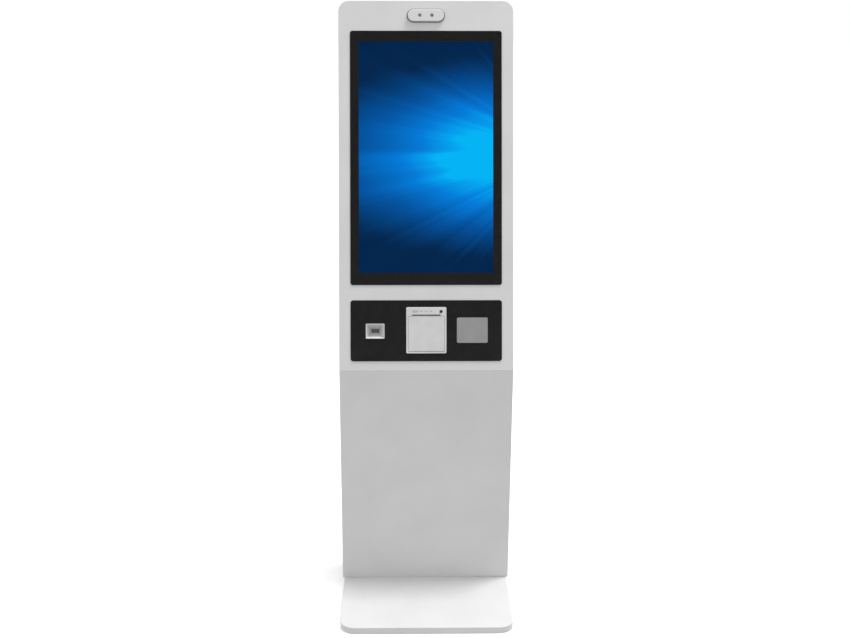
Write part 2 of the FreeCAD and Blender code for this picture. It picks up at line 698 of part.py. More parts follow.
def printer_front():
    """Fixed front with the flap's opening, the ticket mouth, the button and the lamps."""
    width, height, up = D["printer_width"], D["printer_height"], D["printer_up"]
    flap_half, flap_low = D["flap_width"] / 2, D["flap_low"]
    flap_high = flap_low + D["flap_height"]
    mouth_half, mouth_high = D["slot_width"] / 2, flap_high + D["slot_height"]
    button = (D["button_across"], D["button_up"])
    gap, through = 0.5, 20
    front = slab((0, up), width, height, PROUD, FLAP_THICK - PROUD, 4)
    skirt = slab((0, up), width - 4.6, height - 4.6, -12, PROUD + 12, 2)
    openings = [
        box((-(flap_half + gap), flap_low - 1.2, -through), (flap_half + gap, flap_high + gap, through)),
        box((-mouth_half, flap_high, -through), (mouth_half, mouth_high, through)),
        box((-mouth_half - 2, flap_high, -through), (mouth_half + 2, mouth_high + 4, 0)),
        box((-42, button[1] - 2.6, -through), (20, button[1] + 2.6, through)),
        rod((*button, -through), 4.6, through * 2),
        rod((-60, PIVOT_UP, PIVOT_OUT), PIVOT_RADIUS, 120, "x"),
    ]
    node("printer_front", cut(fuse(front, skirt), *openings), HEAD)
    node("status_lamps", box((-41.8, button[1] - 2.4, -4), (19.8, button[1] + 2.4, 3.2)), HEAD)
    cap, stem = rod((*button, -4), 4.2, 9.4), rod((*button, -10), 2, 6)
    node("feed_button", fuse(cap, stem), HEAD)


def printer_flap():
    """Flap that carries the platen roller between two cheeks and turns on a thin pin."""
    half, low = D["flap_width"] / 2, D["flap_low"]
    high = low + D["flap_height"]
    panel = box((-half, low, 0), (half, high, FLAP_THICK))
    cheeks = [box((side * 49 - 1.5, low + 8, -24), (side * 49 + 1.5, high - 6, 0))
              for side in (-1, 1)]
    bore = rod((-60, PIVOT_UP, PIVOT_OUT), PIVOT_RADIUS + D["running_gap"], 120, "x")
    axle = rod((-60, PLATEN_UP, PLATEN_DEEP), 2 + D["running_gap"], 120, "x")
    node("printer_flap", cut(fuse(panel, *cheeks), bore, axle), HEAD)
    node("flap_pin", rod((-57, PIVOT_UP, PIVOT_OUT), PIVOT_RADIUS, 114, "x"), HEAD)

    rubber = rod((-43, PLATEN_UP, PLATEN_DEEP), D["platen_radius"], 86, "x")
    node("platen_roller", cut(rubber, rod((-60, PLATEN_UP, PLATEN_DEEP), 2, 120, "x")), HEAD)
    node("platen_shaft", rod((-50.5, PLATEN_UP, PLATEN_DEEP), 2, 101, "x"), HEAD)


def printer_works():
    """Open-fronted housing with the paper roll on its spindle, the print head and the cutter."""
    outer = box((-60, 54, -100), (60, 180, -12))
    room = box((-57.5, 57, -97.5), (57.5, 174, -10))
    node("printer_body", cut(outer, room), HEAD)

    half, core_radius = D["roll_width"] / 2, 8
    node("roll_spindle", rod((-57.5, ROLL_UP, ROLL_DEEP), D["spindle_radius"], 115, "x"), HEAD)
    core = rod((-half, ROLL_UP, ROLL_DEEP), core_radius, D["roll_width"], "x")
    bore = rod((-60, ROLL_UP, ROLL_DEEP), D["spindle_radius"] + D["running_gap"], 120, "x")
    node("roll_core", cut(core, bore), HEAD)
    paper = rod((-half, ROLL_UP, ROLL_DEEP), D["roll_radius"], D["roll_width"], "x")
    hole = rod((-60, ROLL_UP, ROLL_DEEP), core_radius, 120, "x")
    node("paper_roll", cut(paper, hole), HEAD)

    block = box((-45, PLATEN_UP - 7, PLATEN_DEEP - 18), (45, PLATEN_UP + 7, PLATEN_DEEP - 7))
    arm = box((-30, PLATEN_UP + 4, -97.5), (30, PLATEN_UP + 7, PLATEN_DEEP - 18))
    node("print_head", fuse(block, arm), HEAD)
    node("cutter_blade", box((-45, PLATEN_UP + 7, PLATEN_DEEP - 17),
                             (45, PLATEN_UP + 8.2, PLATEN_DEEP - 3)), HEAD)


EYE_APART = 36


def reader():
    """Contactless pad and the module behind it."""
    x, y = D["reader_across"], D["reader_up"]
    pad_top = slab((x, y), D["reader_width"], D["reader_height"], PROUD, 2, 4)
    neck = slab((x, y), D["reader_width"] - 4.6, D["reader_height"] - 4.6, -6, 6 + 2, 2)
    node("reader_pad", fuse(pad_top, neck), HEAD)
    node("reader_module", slab((x, y), D["reader_width"] - 6, D["reader_height"] - 8, -30, 24, 3), HEAD)


def camera():
    """Stadium-shaped pod over the screen with two small lenses."""
    up, proud = D["pod_up"], D["pod_proud"]
    pod = slab((0, up), D["pod_width"], D["pod_height"], 0, proud, D["pod_height"] / 2 - 0.05)
    holes = [rod((side * EYE_APART / 2, up, -10), 5, 40) for side in (-1, 1)]
    node("camera_pod", cut(pod, *holes), HEAD)
    node("camera_lenses", group(*[rod((side * EYE_APART / 2, up, proud - 2), 5, 1.5) for side in (-1, 1)]),
         HEAD)
    board = slab((0, up), 60, 24, -12, 2)
    barrels = [rod((side * EYE_APART / 2, up, -10), 4.6, proud + 8) for side in (-1, 1)]
    node("camera_module", fuse(board, *barrels), HEAD)


def check_and_write():
    """Refuse a failed object, then write one file for each sub-part."""
    doc.recompute()
    failed = [item.Name for item in doc.Objects if {"Invalid", "Error"} & set(item.State)]
    for name, item in NODES.items():
        if item.Shape.isNull() or not item.Shape.isValid() or not item.Shape.Solids:
            failed.append(name)
    if failed:
        raise ValueError(f"failed: {failed}")
    os.makedirs("parts", exist_ok=True)
    for name, item in NODES.items():
        item.Shape.exportStep(f"parts/{name}.step")
        print(f"{name}: {len(item.Shape.Solids)} solid(s), {item.Shape.Volume / 1000:.1f} cm3")
    print(len(NODES), "nodes")


for build in (base_plate, column, rear_frame, rear_door, lock_cam, hinges, power_inlet, equipment,
              head_shell, upper_cover, fan, display, accessory_panel, scanner, printer_front,
              printer_flap, printer_works, reader, camera):
    build()
check_and_write()
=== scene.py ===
"""Ticket machine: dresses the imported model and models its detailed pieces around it."""

import json
import logging
import math
from dataclasses import dataclass
from enum import Enum
from typing import Callable, Iterable, Sequence

import bpy
from mathutils import Matrix, Vector

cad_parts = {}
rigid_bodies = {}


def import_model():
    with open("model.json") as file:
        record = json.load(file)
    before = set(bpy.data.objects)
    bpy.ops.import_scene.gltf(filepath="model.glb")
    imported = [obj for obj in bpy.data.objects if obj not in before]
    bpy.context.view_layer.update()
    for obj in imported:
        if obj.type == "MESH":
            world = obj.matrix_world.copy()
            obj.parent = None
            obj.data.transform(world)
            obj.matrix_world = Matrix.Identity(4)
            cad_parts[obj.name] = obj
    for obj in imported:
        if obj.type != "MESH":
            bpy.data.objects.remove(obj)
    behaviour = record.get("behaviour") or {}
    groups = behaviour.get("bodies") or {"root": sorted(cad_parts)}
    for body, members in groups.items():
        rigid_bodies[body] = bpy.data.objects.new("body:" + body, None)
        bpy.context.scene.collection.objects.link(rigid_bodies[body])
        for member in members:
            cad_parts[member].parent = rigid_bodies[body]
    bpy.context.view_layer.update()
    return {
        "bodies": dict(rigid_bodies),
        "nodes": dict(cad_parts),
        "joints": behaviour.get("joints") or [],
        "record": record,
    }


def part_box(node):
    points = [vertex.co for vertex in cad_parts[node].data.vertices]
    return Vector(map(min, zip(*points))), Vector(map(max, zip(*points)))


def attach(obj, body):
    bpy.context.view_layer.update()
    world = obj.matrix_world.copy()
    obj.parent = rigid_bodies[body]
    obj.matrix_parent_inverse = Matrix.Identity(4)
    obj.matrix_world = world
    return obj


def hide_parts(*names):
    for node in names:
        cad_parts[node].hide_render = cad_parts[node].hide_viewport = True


LOG = logging.getLogger("ticket_machine")
MM = 0.001
LEAN = math.radians(15)
THROUGH = 1.0  # metres: the length of a tool that cuts right through a piece
Pair = tuple[float, float]
Triple = tuple[float, float, float]
Piece = bpy.types.Object
Socket = bpy.types.NodeSocket
Material = bpy.types.Material


# Finishes


class Tree:
    """Adds and joins the nodes of one material."""

    def __init__(self, name: str) -> None:
        """Start a material with an empty node tree.

        Args:
            name: The material's name.
        """
        self.material = bpy.data.materials.new(name)
        self.material.use_nodes = True
        self.nodes = self.material.node_tree.nodes
        self.nodes.clear()
        self.output = self.add("OutputMaterial")

    def add(self, kind: str, **settings: object) -> bpy.types.Node:
        """Add a node.

        Args:
            kind: The node's type, without the ShaderNode that all begin with.
            settings: Properties of the node, or input values by their name in lower case.

        Returns:
            The new node.
        """
        node = self.nodes.new(f"ShaderNode{kind}")
        sockets = {socket.name.lower().replace(" ", "_"): socket for socket in reversed(node.inputs)}
        for key, value in settings.items():
            if key in sockets:
                sockets[key].default_value = value
            else:
                setattr(node, key, value)
        return node

    def join(self, source: Socket, target: Socket) -> None:
        """Link an output to an input."""
        self.material.node_tree.links.new(source, target)

    def surface(self, shader: bpy.types.Node) -> Material:
        """Make a shader the material's surface."""
        self.join(shader.outputs[0], self.output.inputs["Surface"])
        return self.material

    def place(self, stretch: Triple = (1, 1, 1), turn: float = 0.0) -> Socket:
        """Object coordinates, stretched and turned about X.

        Args:
            stretch: The factor along each axis.
            turn: The angle about X in radians.

        Returns:
            The coordinates.
        """
        source = self.add("TexCoord").outputs["Object"]
        mapping = self.add("Mapping", scale=stretch, rotation=(turn, 0, 0))
        self.join(source, mapping.inputs["Vector"])
        return mapping.outputs[0]

    def noise(self, place: Socket, scale: float, detail: float = 3) -> Socket:
        """A grey noise pattern.

        Args:
            place: The coordinates that it is drawn in.
            scale: Its scale per metre.
            detail: How much finer noise is added.

        Returns:
            The pattern's value.
        """
        node = self.add("TexNoise", scale=scale, detail=detail)
        self.join(place, node.inputs["Vector"])
        return node.outputs["Fac"]

    def ramp(self, source: Socket, low: float | Triple, high: float | Triple,
             start: float = 0.3, end: float = 0.7) -> Socket:
        """Spread a grey value between two values or two colours.

        Args:
            source: The grey value.
            low: The value or colour at the start.
            high: The value or colour at the end.
            start: The grey value that gives low.
            end: The grey value that gives high.

        Returns:
            The value or colour.
        """
        if isinstance(low, (int, float)):
            node = self.add("MapRange", from_min=start, from_max=end, to_min=low, to_max=high)
            self.join(source, node.inputs["Value"])
            return node.outputs[0]
        node = self.add("ValToRGB")
        for element, place, colour in zip(node.color_ramp.elements, (start, end), (low, high)):
            element.position = place
            element.color = (*colour, 1)
        self.join(source, node.inputs["Fac"])
        return node.outputs["Color"]

    def bump(self, height: Socket, depth: float,
             below: Socket | None = None) -> Socket:
        """Relief over a surface.

        Args:
            height: The grey value that is raised.
            depth: The full height in metres.
            below: The normal that it starts from, if not the surface's own.

        Returns:
            The bent normal.
        """
        node = self.add("Bump", distance=depth, strength=1.0)
        self.join(height, node.inputs["Height"])
        if below is not None:
            self.join(below, node.inputs["Normal"])
        return node.outputs[0]


def shade(colour: Triple, factor: float) -> Triple:
    """A colour made lighter or darker."""
    return tuple(min(channel * factor, 1.0) for channel in colour)


@dataclass(frozen=True)
class Finish:
    """What every plain finish has."""

    name: str
    colour: Triple


@dataclass(frozen=True)
class PowderCoat(Finish):
    """Baked paint with a fine orange-peel grain and a faintly clouded tone."""

    roughness: float = 0.42
    grain: float = 900.0
    depth: float = 0.00006
    soiling: float = 0.05
    cloud_scale: float = 7.0
    patch_scale: float = 60.0
    rough_spread: Pair = (0.88, 1.12)

    def build(self) -> Material:
        """Build the finish.

        Returns:
            The material.
        """
        tree = Tree(self.name)
        place = tree.place()
        shader = tree.add("BsdfPrincipled", roughness=self.roughness)
        cloud = tree.noise(place, self.cloud_scale, 5)
        tone = tree.ramp(cloud, shade(self.colour, 1 - self.soiling), shade(self.colour, 1.01))
        tree.join(tone, shader.inputs["Base Color"])
        smooth, rough = (self.roughness * factor for factor in self.rough_spread)
        tree.join(tree.ramp(tree.noise(place, self.patch_scale, 4), smooth, rough),
                  shader.inputs["Roughness"])
        grain = tree.bump(tree.noise(place, self.grain, 2), self.depth)
        wave = tree.bump(tree.noise(place, self.grain / 8, 2), self.depth * 1.5, grain)
        tree.join(wave, shader.inputs["Normal"])
        return tree.surface(shader)


@dataclass(frozen=True)
class SheetMetal(Finish):
    """Bare or plated sheet with a drawn grain along one axis."""

    roughness: float = 0.34
    stretch: Triple = (1.0, 1.0, 0.02)
    spangle: float = 0.0
    grain: float = 900.0
    depth: float = 0.00002
    tones: Pair = (0.9, 1.05)
    grain_spread: Pair = (0.75, 1.3)
    spangle_spread: Pair = (0.6, 1.5)

    def build(self) -> Material:
        """Build the finish.

        Returns:
            The material.
        """
        tree = Tree(self.name)
        shader = tree.add("BsdfPrincipled", metallic=1.0, roughness=self.roughness)
        drawn = tree.noise(tree.place(self.stretch), self.grain, 3)
        tone = tree.ramp(drawn, *(shade(self.colour, factor) for factor in self.tones))
        tree.join(tone, shader.inputs["Base Color"])
        rough = tree.ramp(drawn, *(self.roughness * factor for factor in self.grain_spread))
        if self.spangle:
            cells = tree.add("TexVoronoi", scale=self.spangle)
            tree.join(tree.place(), cells.inputs["Vector"])
            smooth, dull = (self.roughness * factor for factor in self.spangle_spread)
            rough = tree.ramp(cells.outputs["Color"], smooth, dull, 0.1, 0.9)
        tree.join(rough, shader.inputs["Roughness"])
        tree.join(tree.bump(drawn, self.depth), shader.inputs["Normal"])
        return tree.surface(shader)


@dataclass(frozen=True)
class Moulding(Finish):
    """Moulded plastic or rubber with a stippled skin."""

    roughness: float = 0.5
    stipple: float = 1400.0
    depth: float = 0.00004
    sheen: float = 0.0
    mottle: float = 25.0
    tones: Pair = (0.94, 1.04)
    rough_spread: Pair = (0.9, 1.1)

    def build(self) -> Material:
        """Build the finish.

        Returns:
            The material.
        """
        tree = Tree(self.name)
        place = tree.place()
        shader = tree.add("BsdfPrincipled", roughness=self.roughness)
        shader.inputs["Sheen Weight"].default_value = self.sheen
        dark, light = (shade(self.colour, factor) for factor in self.tones)
        tone = tree.ramp(tree.noise(place, self.mottle, 4), dark, light)
        tree.join(tone, shader.inputs["Base Color"])
        skin = tree.noise(place, self.stipple, 2)
        rough = tree.ramp(skin, *(self.roughness * factor for factor in self.rough_spread))
        tree.join(rough, shader.inputs["Roughness"])
        tree.join(tree.bump(skin, self.depth), shader.inputs["Normal"])
        return tree.surface(shader)


@dataclass(frozen=True)
class ClearPane(Finish):
    """Glass or acrylic that hides a set share, its cover, of what is behind it."""

    cover: float
    roughness: float = 0.02
    smear_scale: float = 14.0
    smear: float = 1.6

    def build(self) -> Material:
        """Build the finish.

        Returns:
            The material.
        """
        tree = Tree(self.name)
        shader = tree.add("BsdfPrincipled", base_color=(*self.colour, 1), alpha=self.cover)
        smear = tree.ramp(tree.noise(tree.place(), self.smear_scale, 3), self.roughness,
                          self.roughness * self.smear)
        tree.join(smear, shader.inputs["Roughness"])
        return tree.surface(shader)


@dataclass(frozen=True)
class CircuitBoard(Finish):
    """Green solder mask with a grid of lighter tracks."""

    roughness: float = 0.35
    pitch: float = 160.0
    track: float = 0.09
    tones: Pair = (0.8, 2.4)
    depth: float = 0.00003

    def build(self) -> Material:
        """Build the finish.

        Returns:
            The material.
        """
        tree = Tree(self.name)
        shader = tree.add("BsdfPrincipled", roughness=self.roughness)
        dark, light = (shade(self.colour, factor) for factor in self.tones)
        bricks = tree.add("TexBrick", scale=self.pitch, mortar_size=self.track,
                          color1=(*self.colour, 1), color2=(*dark, 1), mortar=(*light, 1))
        tree.join(tree.place(turn=-LEAN), bricks.inputs["Vector"])
        tree.join(bricks.outputs["Color"], shader.inputs["Base Color"])
        tree.join(tree.bump(bricks.outputs["Fac"], self.depth), shader.inputs["Normal"])
        return tree.surface(shader)


@dataclass(frozen=True)
class Fibre(Finish):
    """Paper or board with soft fibres; layers raises the relief for a wound roll."""

    layers: float = 0.0
    roughness: float = 0.85
    scale: float = 700.0
    stretch: Triple = (1.0, 0.2, 1.0)
    darkest: float = 0.92
    depth: float = 0.00002

    def build(self) -> Material:
        """Build the finish.

        Returns:
            The material.
        """
        tree = Tree(self.name)
        shader = tree.add("BsdfPrincipled", roughness=self.roughness)
        fibres = tree.noise(tree.place(self.stretch), self.scale, 4)
        tone = tree.ramp(fibres, shade(self.colour, self.darkest), self.colour)
        tree.join(tone, shader.inputs["Base Color"])
        tree.join(tree.bump(fibres, self.depth + self.layers), shader.inputs["Normal"])
        return tree.surface(shader)


@dataclass(frozen=True)
class Spot:
    """A value that runs smoothly from near, at a centre, to far, at a reach from it."""

    centre: Pair
    stretch: Pair
    near: float
    far: float
    reach: float

    def value(self, tree: Tree, uv: Socket) -> Socket:
        """Draw the spot.

        Args:
            tree: The material that it is part of.
            uv: The picture's coordinates.

        Returns:
            The spot's value.
        """
        (across, up), (wide, tall) = self.centre, self.stretch
        mapping = tree.add("Mapping", scale=(wide, tall, 0),
                           location=(-across * wide, -up * tall, 0))
        tree.join(uv, mapping.inputs["Vector"])
        length = tree.add("VectorMath", operation="LENGTH")
        tree.join(mapping.outputs[0], length.inputs[0])
        spread = tree.add("MapRange", interpolation_type="SMOOTHSTEP", from_min=0.0,
                          from_max=self.reach, to_min=self.near, to_max=self.far)
        tree.join(length.outputs["Value"], spread.inputs["Value"])
        return spread.outputs[0]


@dataclass(frozen=True)
class LitPicture:
    """The screen's standby picture: a soft band of light with fine beams over deep blue."""

    name: str
    source: Pair = (1.5, 0.52)
    strength: float = 1.12
    band: Spot = Spot((0.9, 0.5), (0.27, 1.0), 0.94, 0.2, 0.46)
    glow: Spot = Spot((0.92, 0.52), (1.0, 1.3), 0.2, 0.0, 0.7)
    tallness: float = 1.72
    ray_scale: float = 7.5
    ray_seed: float = 2.3
    ray_light: Pair = (0.86, 1.08)
    stops: tuple = ((0.0, (0.0, 0.006, 0.028)), (0.22, (0.0, 0.022, 0.085)), (0.5, (0.0, 0.1, 0.4)),
                    (0.78, (0.0, 0.22, 0.76)), (0.95, (0.0, 0.4, 0.95)), (1.0, (0.0, 0.5, 1.0)))

    def build(self) -> Material:
        """Build the finish.

        Returns:
            The material.
        """
        tree = Tree(self.name)
        uv = tree.add("TexCoord").outputs["UV"]
        lit = tree.add("Math", operation="MULTIPLY")
        tree.join(self.band.value(tree, uv), lit.inputs[0])
        tree.join(self.beams(tree, uv), lit.inputs[1])
        total = tree.add("Math", operation="ADD", use_clamp=True)
        tree.join(lit.outputs[0], total.inputs[0])
        tree.join(self.glow.value(tree, uv), total.inputs[1])
        shader = tree.add("Emission", strength=self.strength)
        tree.join(self.blues(tree, total.outputs[0]), shader.inputs["Color"])
        return tree.surface(shader)

    def blues(self, tree: Tree, light: Socket) -> Socket:
        """Colour the picture by its light.

        Args:
            tree: The material that it is part of.
            light: The light, from none to full.

        Returns:
            The colour.
        """
        colours = tree.add("ValToRGB")
        for index, (place, colour) in enumerate(self.stops):
            element = (colours.color_ramp.elements[index] if index < 2
                       else colours.color_ramp.elements.new(place))
            element.position, element.color = place, (*colour, 1)
        tree.join(light, colours.inputs["Fac"])
        return colours.outputs["Color"]

    def beams(self, tree: Tree, uv: Socket) -> Socket:
        """Draw fine rays that fan out to the left from a point off the picture.

        Args:
            tree: The material that they are part of.
            uv: The picture's coordinates.

        Returns:
            The rays' light.
        """
        mapping = tree.add("Mapping", scale=(1, self.tallness, 1),
                           location=(-self.source[0], -self.source[1] * self.tallness, 0))
        tree.join(uv, mapping.inputs["Vector"])
        parts = tree.add("SeparateXYZ")
        tree.join(mapping.outputs[0], parts.inputs[0])
        slope = tree.add("Math", operation="DIVIDE")
        tree.join(parts.outputs["Y"], slope.inputs[0])
        tree.join(parts.outputs["X"], slope.inputs[1])
        rays = tree.add("TexNoise", noise_dimensions="1D", scale=self.ray_scale, detail=3.0,
                        w=self.ray_seed)
        tree.join(slope.outputs[0], rays.inputs["W"])
        return tree.ramp(rays.outputs["Fac"], *self.ray_light)


class Slot(Enum):
    """The record's material slots, each with its finish."""

    painted_shell = PowderCoat("painted_shell", (0.6, 0.6, 0.6))
    base_paint = PowderCoat("base_paint", (0.62, 0.62, 0.62), roughness=0.4)
    black_trim = PowderCoat("black_trim", (0.0088, 0.0088, 0.0092), roughness=0.34, depth=0.000004)
    zinc_steel = SheetMetal("zinc_steel", (0.6, 0.61, 0.62), 0.38, spangle=260.0)
    ballast_iron = PowderCoat("ballast_iron", (0.16, 0.16, 0.17), 0.6, grain=300.0)
    rubber_black = Moulding("rubber_black", (0.025, 0.025, 0.026), 0.75, 500.0, 0.00008, 0.1)
    hinge_steel = SheetMetal("hinge_steel", (0.5, 0.5, 0.51), 0.28)
    lock_chrome = SheetMetal("lock_chrome", (0.78, 0.78, 0.79), 0.12, (1.0, 1.0, 1.0))
    touch_surface = ClearPane("touch_surface", (0.01, 0.01, 0.012), 0.1)
    screen_face = Moulding("screen_face", (0.01, 0.03, 0.09), 0.3)
    chassis_metal = SheetMetal("chassis_metal", (0.62, 0.63, 0.64), 0.36, (0.03, 1.0, 1.0))
    printer_plastic = Moulding("printer_plastic", (0.56, 0.56, 0.56), 0.46)
    reader_plastic = Moulding("reader_plastic", (0.265, 0.265, 0.266), 0.4)
    dark_plastic = Moulding("dark_plastic", (0.022, 0.022, 0.024), 0.42)
    hood_plastic = Moulding("hood_plastic", (0.6, 0.6, 0.6), 0.25, depth=0.00001)
    lens_glass = ClearPane("lens_glass", (0.16, 0.16, 0.162), 1.0, 0.12)
    lamp_plastic = Moulding("lamp_plastic", (0.16, 0.16, 0.16), 0.3)
    board_green = CircuitBoard("board_green", (0.012, 0.1, 0.04))
    contact_brass = SheetMetal("contact_brass", (0.75, 0.55, 0.25), 0.25)
    ticket_paper = Fibre("ticket_paper", (0.86, 0.86, 0.84), 0.00004)
    core_board = Fibre("core_board", (0.42, 0.3, 0.19))
    # lens_seal is the dark grey of the thin ring round the camera pod's foot, which outlines the pod.
    lens_seal = Moulding("lens_seal", (0.11, 0.11, 0.11), 0.6)
    foam_black = Moulding("foam_black", (0.015, 0.015, 0.015), 0.9, 900.0, 0.0002)

    def material(self) -> Material:
        """The slot's one material, built when it is first asked for."""
        return bpy.data.materials.get(self.name) or self.value.build()


# Modelling


class Axis(Enum):
    """The way a round primitive points in the frame that it is drawn in."""

    X = (0.0, math.pi / 2, 0.0)
    Y = (math.pi / 2, 0.0, 0.0)
    Z = (0.0, 0.0, 0.0)


def select_only(piece: Piece) -> None:
    """Leave nothing else selected.

    Args:
        piece: The object to select and make active.
    """
    bpy.ops.object.select_all(action="DESELECT")
    piece.select_set(True)
    bpy.context.view_layer.objects.active = piece


def settle(piece: Piece) -> None:
    """Apply a piece's place, turn and scale to its mesh."""
    select_only(piece)
    bpy.ops.object.transform_apply(location=True, rotation=True, scale=True)


def take_new(name: str) -> Piece:
    """Name the primitive that was just added and apply its place.

    Args:
        name: The object's and the mesh's name.

    Returns:
        The primitive.
    """
    piece = bpy.context.object
    piece.name = name
    piece.data.name = name
    settle(piece)
    return piece


def block(name: str, low: Sequence[float], high: Sequence[float]) -> Piece:
    """Model a box between two corners.

    Args:
        name: The box's name.
        low: Its lowest corner.
        high: Its highest corner.

    Returns:
        The box.
    """
    low, high = Vector(low), Vector(high)
    bpy.ops.mesh.primitive_cube_add(size=1, location=(low + high) / 2, scale=high - low)
    return take_new(name)


def disc(name: str, centre: Sequence[float], radius: float, height: float,
         axis: Axis = Axis.Z, sides: int = 48) -> Piece:
    """Model a round bar.

    Args:
        name: The bar's name.
        centre: The middle of the bar.
        radius: Its radius.
        height: Its length.
        axis: The way it points.
        sides: The sides that stand for the circle.

    Returns:
        The bar.
    """
    bpy.ops.mesh.primitive_cylinder_add(vertices=sides, radius=radius, depth=height,
                                        location=centre, rotation=axis.value)
    return take_new(name)


def ring(name: str, centre: Sequence[float], radius: float, wire: float,
         axis: Axis = Axis.Z) -> Piece:
    """Model a wire bent into a circle.

    Args:
        name: The ring's name.
        centre: The middle of the ring.
        radius: From the middle to the wire's middle.
        wire: The wire's radius.
        axis: The way the ring's hole points.

    Returns:
        The ring.
    """
    bpy.ops.mesh.primitive_torus_add(major_radius=radius, minor_radius=wire, major_segments=64,
                                     minor_segments=10, location=centre, rotation=axis.value)
    return take_new(name)


def edit(piece: Piece, work: Callable[[], None]) -> None:
    """Run operators in edit mode on one piece.

    Args:
        piece: The piece to edit.
        work: The operators.
    """
    select_only(piece)
    bpy.ops.object.mode_set(mode="EDIT")
    work()
    bpy.ops.object.mode_set(mode="OBJECT")


def subdivide(piece: Piece, cuts: int) -> None:
    """Divide every face of a piece evenly.

    Args:
        piece: The piece to divide.
        cuts: The cuts along each edge.
    """
    def work() -> None:
        """Select everything and divide it."""
        bpy.ops.mesh.select_all(action="SELECT")
        bpy.ops.mesh.subdivide(number_cuts=cuts)

    edit(piece, work)


def pick_edges(piece: Piece, wanted: Callable[[Vector, Vector], bool]) -> None:
    """Select just some edges, ready for edit mode.

    Args:
        piece: The piece that has the edges.
        wanted: A test of an edge's two ends.
    """
    mesh = piece.data
    select_only(piece)
    bpy.context.tool_settings.mesh_select_mode = (False, True, False)
    for part in (mesh.vertices, mesh.edges, mesh.polygons):
        part.foreach_set("select", [False] * len(part))
    for edge in mesh.edges:
        start, end = (mesh.vertices[index].co for index in edge.vertices)
        edge.select = wanted(start, end)


def apply_modifier(piece: Piece, kind: str, **settings: object) -> None:
    """Add a modifier and apply it.

    Args:
        piece: The piece to change.
        kind: The modifier's type.
        settings: The modifier's properties.
    """
    select_only(piece)
    modifier = piece.modifiers.new(kind.title(), kind)
    for key, value in settings.items():
        setattr(modifier, key, value)
    bpy.ops.object.modifier_apply(modifier=modifier.name)


def soften(piece: Piece, width: float, segments: int = 3, angle: float = 35) -> None:
    """Round every edge sharper than an angle, then shade the rest smooth.

    Args:
        piece: The piece to round.
        width: The rounding in metres.
        segments: The steps round each edge.
        angle: The angle in degrees.
    """
    apply_modifier(piece, "BEVEL", width=width, segments=segments, limit_method="ANGLE",
                   angle_limit=math.radians(angle), use_clamp_overlap=True, harden_normals=False)
    select_only(piece)
    bpy.ops.object.shade_smooth_by_angle(angle=math.radians(angle))
    apply_modifier(piece, "WEIGHTED_NORMAL", keep_sharp=True, weight=80)


def round_uprights(piece: Piece, radius: float, segments: int = 10) -> None:
    """Round the edges of a box that run along Z.

    Args:
        piece: The box.
        radius: The rounding in metres.
        segments: The steps round each edge.
    """
    def upright(start: Vector, end: Vector) -> bool:
        """Whether an edge runs along Z."""
        return (end - start).normalized().cross(Vector((0, 0, 1))).length < 0.01

    pick_edges(piece, upright)
    edit(piece, lambda: bpy.ops.mesh.bevel(offset=radius, segments=segments, affect="EDGES"))


def cut_away(piece: Piece, tools: Iterable[Piece]) -> None:
    """Take tools out of a piece and delete them.

    Args:
        piece: The piece to cut.
        tools: The shapes to take out, in order.
    """
    for tool in tools:
        apply_modifier(piece, "BOOLEAN", operation="DIFFERENCE", object=tool, solver="EXACT")
        bpy.data.objects.remove(tool)


def merge(name: str, pieces: Sequence[Piece]) -> Piece:
    """Join pieces into one object.

    Args:
        name: The joined object's name.
        pieces: The pieces, the first of which takes in the others.

    Returns:
        The joined object.
    """
    select_only(pieces[0])
    for piece in pieces:
        piece.select_set(True)
    bpy.ops.object.join()
    pieces[0].name = name
    return pieces[0]


def copy_at(piece: Piece, name: str, offset: Sequence[float]) -> Piece:
    """Copy a piece with its mesh.

    Args:
        piece: The piece to copy.
        name: The copy's name.
        offset: How far the copy is moved.

    Returns:
        The copy.
    """
    select_only(piece)
    bpy.ops.object.duplicate()
    bpy.ops.transform.translate(value=offset)
    return take_new(name)


